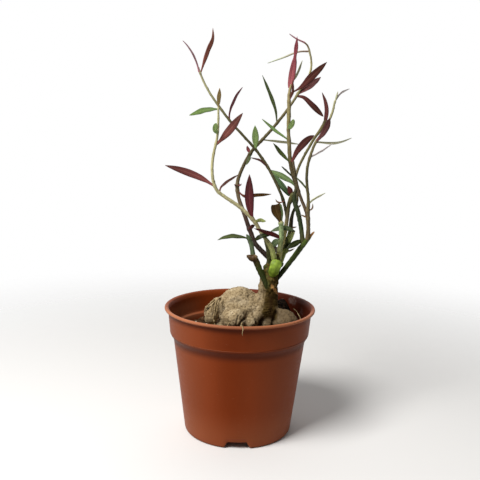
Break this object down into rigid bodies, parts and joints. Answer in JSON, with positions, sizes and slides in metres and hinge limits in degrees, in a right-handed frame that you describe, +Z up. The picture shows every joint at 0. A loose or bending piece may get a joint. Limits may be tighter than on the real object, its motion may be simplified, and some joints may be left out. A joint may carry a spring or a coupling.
{
  "type": "potted plant",
  "caption": "Potted monadenium rubellum: a swollen, lobed tuber with slender branching stems and narrow dark red and green leaves, in a round terracotta-coloured nursery pot.",
  "frame": {"origin": "middle of the whole plant's bounding box in plan, at the level that the pot stands on; the pot's own axis is 9.2 mm towards -X", "axes": "+Z up along the pot's axis; -Y is the side that the picture shows; +X to its right"},
  "size_m": [0.125, 0.1066, 0.2801],
  "materials": {
    "pot_plastic": "moulded, faintly satin",
    "potting_soil": "damp, crumbly",
    "tuber_bark": "dry, finely wrinkled",
    "young_leaf": "fleshy, satin",
    "cut_stub": "green bark with a dried brown cut",
    "left_shoot": "fleshy, satin",
    "pale_stem_and_leaves": "fleshy, satin",
    "dark_stem_and_leaves": "fleshy, satin",
    "middle_stem_and_leaves": "fleshy, satin",
    "crossing_stem_and_leaves": "fleshy, satin",
    "rear_stem_and_leaves": "fleshy, satin",
    "right_branch": "green bark with a dried orange cut",
    "tall_stem_and_leaves": "fleshy, satin",
    "fork_stem_and_leaves": "fleshy, satin",
    "leaning_stem_and_leaf": "fleshy, satin"
  },
  "bodies": {
    "root": {"pot": "pot_plastic", "soil": "potting_soil", "caudex": "tuber_bark", "young_leaf": "young_leaf", "stub_left": "cut_stub", "shoot_left": "left_shoot", "stem_pale": "pale_stem_and_leaves", "stem_dark": "dark_stem_and_leaves", "stem_middle": "middle_stem_and_leaves", "stem_cross": "crossing_stem_and_leaves", "stem_behind": "rear_stem_and_leaves", "branch_right": "right_branch", "stem_tall": "tall_stem_and_leaves", "stem_fork": "fork_stem_and_leaves", "stem_lean": "leaning_stem_and_leaf"}
  },
  "joints": []
}
